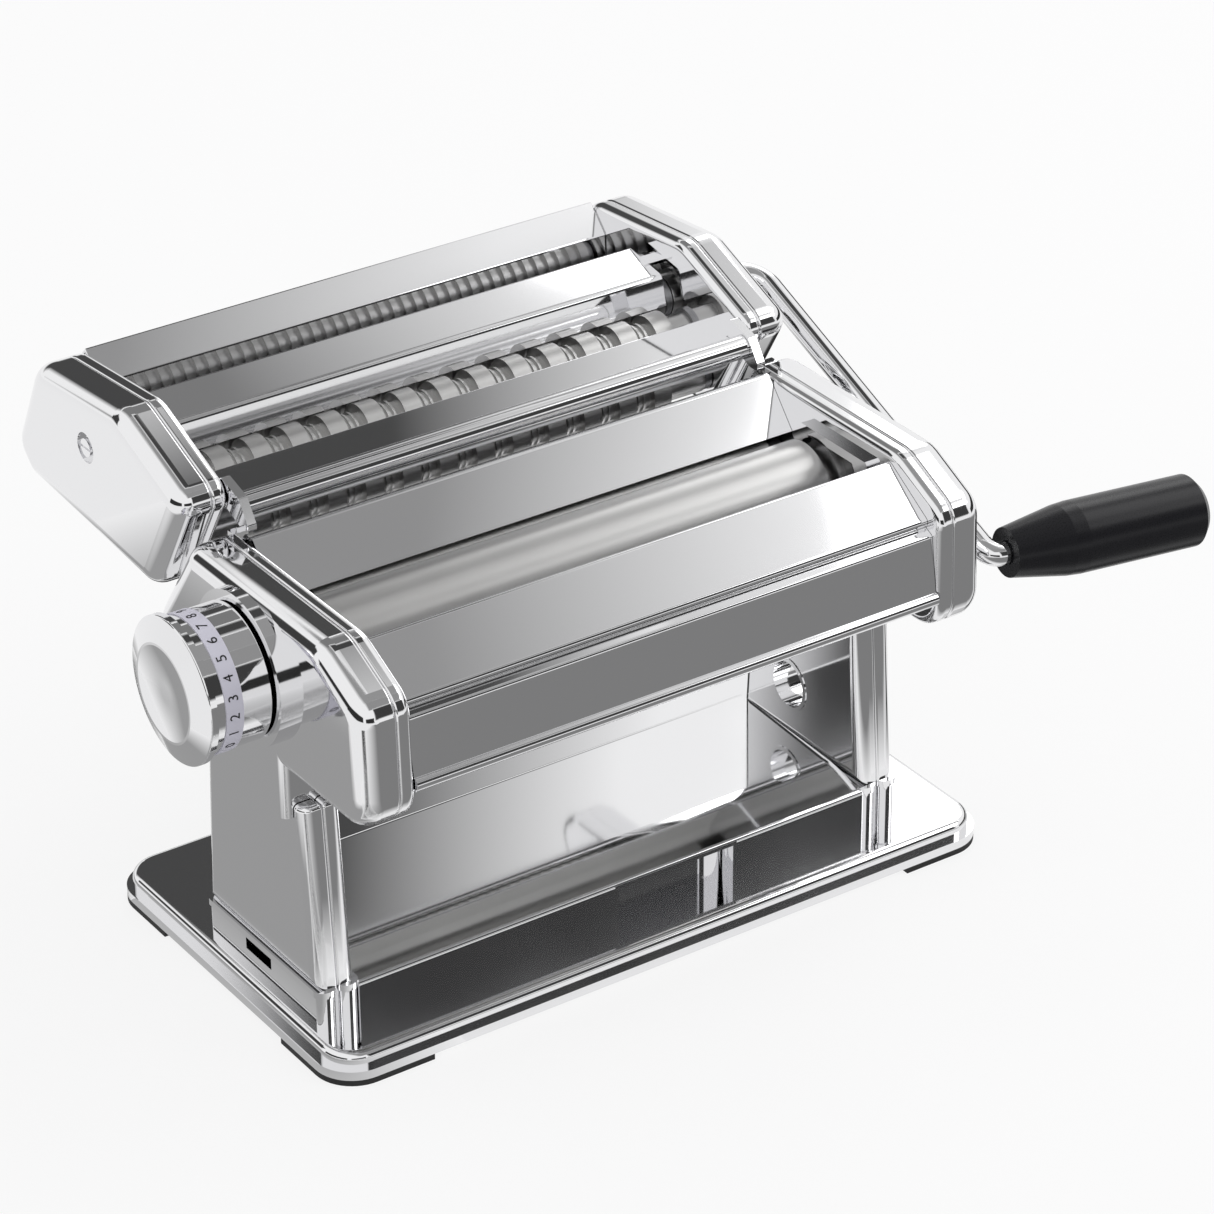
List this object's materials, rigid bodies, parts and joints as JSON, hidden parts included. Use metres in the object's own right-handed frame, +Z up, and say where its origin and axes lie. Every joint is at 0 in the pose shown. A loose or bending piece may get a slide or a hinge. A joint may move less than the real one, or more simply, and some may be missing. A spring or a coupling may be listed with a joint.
{
  "type": "pasta roller machine",
  "caption": "Hand-cranked pasta machine on a raised stand: two dough rollers with a thickness knob, and a lift-off cutter head with fine and wide cutting rollers.",
  "frame": {"origin": "on the table, below the middle of the dough rollers' length, 11.5 mm behind the knob axis", "axes": "+X along the rollers towards the crank, +Y away from the user, +Z up"},
  "size_m": [0.3555, 0.2068, 0.1783],
  "materials": {
    "chrome_steel": "polished chrome plate",
    "foot_rubber": "matt black rubber",
    "grip_plastic": "black satin plastic",
    "ring_plastic": "pale grey printed band",
    "roller_steel": "turned and polished steel",
    "plain_steel": "plain steel",
    "bush_steel": "turned bearing steel",
    "scraper_plastic": "natural nylon"
  },
  "bodies": {
    "frame": {"base_plate": "chrome_steel", "rubber_feet": "foot_rubber", "pedestal": "chrome_steel", "left_upright_inner": "chrome_steel", "left_upright_outer": "chrome_steel", "right_upright_inner": "chrome_steel", "right_upright_outer": "chrome_steel", "clamp_collar": "chrome_steel", "left_side_plate": "chrome_steel", "right_side_plate": "chrome_steel", "left_cap": "chrome_steel", "right_cap": "chrome_steel", "front_cover": "chrome_steel", "hopper_plate": "chrome_steel", "left_dough_guide": "chrome_steel", "right_dough_guide": "chrome_steel", "front_scraper": "scraper_plastic", "rear_scraper": "scraper_plastic", "tie_rods": "plain_steel", "tie_nuts": "plain_steel", "rear_roller_bushes": "bush_steel", "axle_bushes": "bush_steel", "knob_collar": "chrome_steel"},
    "axle": {"eccentric_axle": "plain_steel", "knob_screw": "plain_steel"},
    "knob": {"knob": "chrome_steel", "number_ring": "ring_plastic", "knob_spring": "plain_steel", "index_pin": "plain_steel"},
    "bushes": {"floating_bushes": "bush_steel"},
    "front_roller": {"front_roller": "roller_steel", "front_roller_gear": "plain_steel"},
    "rear_roller": {"rear_roller": "roller_steel", "rear_roller_gear": "plain_steel"},
    "cutter": {"cutter_left_side_plate": "chrome_steel", "cutter_right_side_plate": "chrome_steel", "cutter_left_cap": "chrome_steel", "cutter_right_cap": "chrome_steel", "cutter_back_plate": "chrome_steel", "cutter_roof_plate": "chrome_steel", "cutter_front_plate": "chrome_steel", "cutter_hooks": "chrome_steel", "cap_screw": "chrome_steel", "cutter_bushes": "bush_steel", "cutter_tie_rods": "plain_steel", "cutter_tie_nuts": "plain_steel"},
    "fine_front": {"fine_roller_front": "roller_steel", "fine_gear_front": "plain_steel"},
    "fine_rear": {"fine_roller_rear": "roller_steel", "fine_gear_rear": "plain_steel"},
    "wide_rear": {"wide_roller_rear": "roller_steel", "wide_gear_rear": "plain_steel"},
    "wide_front": {"wide_roller_front": "roller_steel", "wide_gear_front": "plain_steel"},
    "crank": {"crank_rod": "chrome_steel", "grip_cap": "chrome_steel"},
    "grip": {"grip": "grip_plastic"}
  },
  "joints": [
    {"name": "knob_turn", "type": "hinge", "parent": "frame", "child": "axle", "pos_m": [0, -0.0115, 0.1268], "axis": [1, 0, 0], "range_deg": [-80, 64]},
    {"name": "knob_pull", "type": "slide", "parent": "axle", "child": "knob", "axis": [-1, 0, 0], "range_m": [0, 0.005], "stiffness_N_per_m": 900, "springref_m": -0.004},
    {"name": "bush_float", "type": "hinge", "parent": "axle", "child": "bushes", "pos_m": [0, -0.01119, 0.12503], "axis": [1, 0, 0], "range_deg": [-68, 84]},
    {"name": "front_roller_turn", "type": "hinge", "parent": "bushes", "child": "front_roller", "pos_m": [0, -0.01119, 0.12503], "axis": [1, 0, 0], "continuous": true},
    {"name": "rear_roller_turn", "type": "hinge", "parent": "frame", "child": "rear_roller", "pos_m": [0, 0.01946, 0.12144], "axis": [1, 0, 0], "continuous": true},
    {"name": "cutter_lift", "type": "slide", "parent": "frame", "child": "cutter", "axis": [0, 0, 1], "range_m": [0, 0.03]},
    {"name": "fine_turn", "type": "hinge", "parent": "cutter", "child": "fine_front", "pos_m": [0, 0.0764, 0.1544], "axis": [1, 0, 0], "continuous": true},
    {"name": "fine_rear_turn", "type": "hinge", "parent": "cutter", "child": "fine_rear", "pos_m": [0, 0.09198, 0.15358], "axis": [1, 0, 0], "continuous": true},
    {"name": "wide_turn", "type": "hinge", "parent": "cutter", "child": "wide_rear", "pos_m": [0, 0.05988, 0.14997], "axis": [1, 0, 0], "continuous": true},
    {"name": "wide_front_turn", "type": "hinge", "parent": "cutter", "child": "wide_front", "pos_m": [0, 0.05256, 0.1362], "axis": [1, 0, 0], "continuous": true},
    {"name": "crank_pull", "type": "slide", "parent": "fine_front", "child": "crank", "axis": [1, 0, 0], "range_m": [0, 0.03]},
    {"name": "grip_turn", "type": "hinge", "parent": "crank", "child": "grip", "pos_m": [0.134, -0.0509, 0.10271], "axis": [0.9936, -0.1049, -0.0426], "continuous": true}
  ],
  "couplings": [
    {"joint": "bush_float", "follows": "knob_turn", "ratio": -1},
    {"joint": "front_roller_turn", "follows": "rear_roller_turn", "ratio": -1},
    {"joint": "fine_rear_turn", "follows": "fine_turn", "ratio": -1},
    {"joint": "wide_front_turn", "follows": "wide_turn", "ratio": -1}
  ]
}
